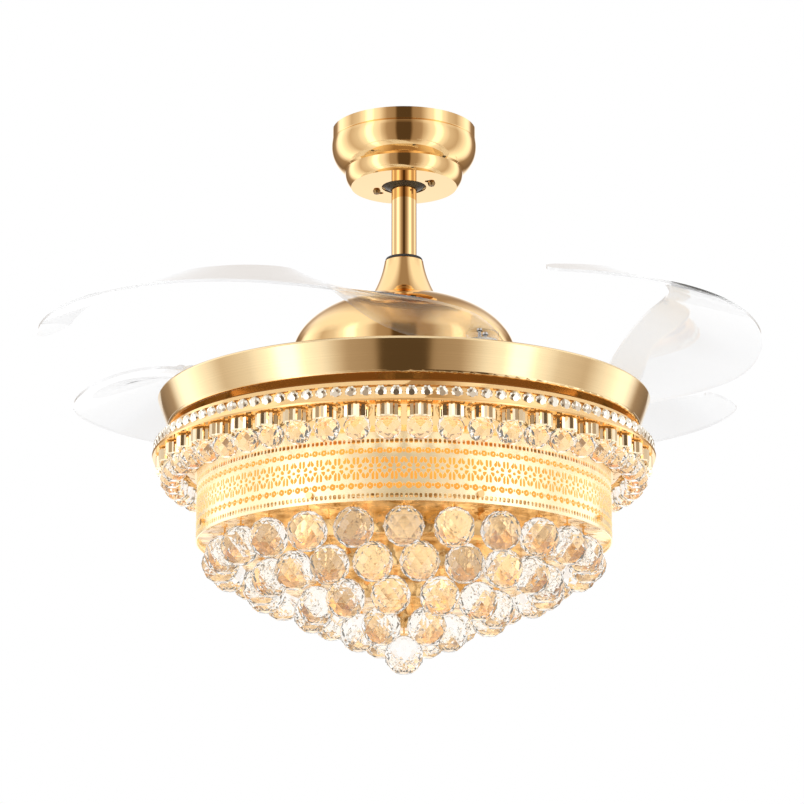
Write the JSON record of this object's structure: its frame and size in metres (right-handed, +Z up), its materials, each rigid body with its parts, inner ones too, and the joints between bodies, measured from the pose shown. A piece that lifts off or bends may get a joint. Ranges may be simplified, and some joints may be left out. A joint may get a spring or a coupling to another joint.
{
  "type": "retractable blade ceiling fan",
  "caption": "Gold ceiling fan on a rod with a light below: clear crescent blades fold over a ring tray, above an openwork band and tiers of cut crystal balls.",
  "frame": {"origin": "centre of the mounting bracket's top face, on the ceiling", "axes": "+Z up into the ceiling, the rod along -Z; +X to the right and +Y away from the viewer of the picture"},
  "size_m": [0.7324, 0.7324, 0.588],
  "materials": {
    "polished_gold": "mirror polished gold plate",
    "satin_gold": "fine brushed gold plate",
    "steel": "zinc plated",
    "nylon": "moulded",
    "rubber": "soft",
    "cast": "as cast",
    "laminations": "stacked sheet",
    "copper_wire": "enamelled wire",
    "clear_acrylic": "clear",
    "crystal": "cut and polished",
    "white_acrylic": "milky",
    "lamp": "lit",
    "white_plastic": "moulded"
  },
  "bodies": {
    "ceiling_mount": {"mounting_bracket": "steel", "canopy": "polished_gold", "canopy_posts": "steel", "canopy_screws": "polished_gold"},
    "hanging_fan": {"hanger_ball": "nylon", "hanger_pin": "steel", "downrod": "polished_gold", "coupling_yoke": "cast", "yoke_bolt": "steel", "coupling_cover": "polished_gold", "cover_gasket": "rubber", "motor_dome": "polished_gold", "dome_screws": "steel", "motor_shaft": "steel", "upper_bearing": "steel", "lower_bearing": "steel", "stator_core": "laminations", "stator_coils": "copper_wire", "light_chassis": "polished_gold", "stud_crystals": "crystal", "shaft_nut": "steel", "flare_band": "polished_gold", "flare_crystals": "crystal", "filigree_band": "polished_gold", "band_screws": "polished_gold", "light_diffuser": "white_acrylic", "led_board": "cast", "led_chips": "lamp", "led_driver": "white_plastic", "controller_box": "white_plastic", "plate_posts": "steel", "crystal_plate": "polished_gold", "ball_hooks": "polished_gold", "crystal_tier_1": "crystal", "crystal_tier_2": "crystal", "crystal_tier_3": "crystal", "crystal_tier_4": "crystal", "crystal_drop": "crystal"},
    "rotor": {"rotor_shell": "cast", "rotor_magnets": "laminations", "rotor_cover": "cast", "blade_tray": "satin_gold", "tray_screws": "steel", "pivot_bushes": "nylon", "guide_studs": "steel", "return_springs": "steel"},
    "timing": {"timing_ring": "nylon"},
    "folding_blade_1": {"blade_1": "clear_acrylic", "pivot_1": "steel", "blade_screws_1": "steel"},
    "folding_blade_2": {"blade_2": "clear_acrylic", "pivot_2": "steel", "blade_screws_2": "steel"},
    "folding_blade_3": {"blade_3": "clear_acrylic", "pivot_3": "steel", "blade_screws_3": "steel"},
    "folding_blade_4": {"blade_4": "clear_acrylic", "pivot_4": "steel", "blade_screws_4": "steel"}
  },
  "joints": [
    {"name": "hanger_tilt", "type": "hinge", "parent": "ceiling_mount", "child": "hanging_fan", "pos_m": [0, 0, -0.03051], "axis": [1, 0, 0], "range_deg": [-10, 10]},
    {"name": "fan_spin", "type": "hinge", "parent": "hanging_fan", "child": "rotor", "pos_m": [0, 0, -0.25], "axis": [0, 0, 1], "continuous": true},
    {"name": "blade_1_swing", "type": "hinge", "parent": "rotor", "child": "folding_blade_1", "pos_m": [0.07661, -0.21049, -0.29], "axis": [0, 0, 1], "range_deg": [-48, 38]},
    {"name": "blade_2_swing", "type": "hinge", "parent": "rotor", "child": "folding_blade_2", "pos_m": [0.21049, 0.07661, -0.29], "axis": [0, 0, 1], "range_deg": [-48, 38]},
    {"name": "blade_3_swing", "type": "hinge", "parent": "rotor", "child": "folding_blade_3", "pos_m": [-0.07661, 0.21049, -0.29], "axis": [0, 0, 1], "range_deg": [-48, 38]},
    {"name": "blade_4_swing", "type": "hinge", "parent": "rotor", "child": "folding_blade_4", "pos_m": [-0.21049, -0.07661, -0.29], "axis": [0, 0, 1], "range_deg": [-48, 38]},
    {"name": "timing_turn", "type": "hinge", "parent": "rotor", "child": "timing", "pos_m": [0, 0, -0.3145], "axis": [0, 0, 1], "range_deg": [-2.3, 2.9]}
  ],
  "couplings": [
    {"joint": "blade_2_swing", "follows": "blade_1_swing", "ratio": 1},
    {"joint": "blade_3_swing", "follows": "blade_1_swing", "ratio": 1},
    {"joint": "blade_4_swing", "follows": "blade_1_swing", "ratio": 1},
    {"joint": "timing_turn", "follows": "blade_1_swing", "ratio": -0.056604}
  ]
}
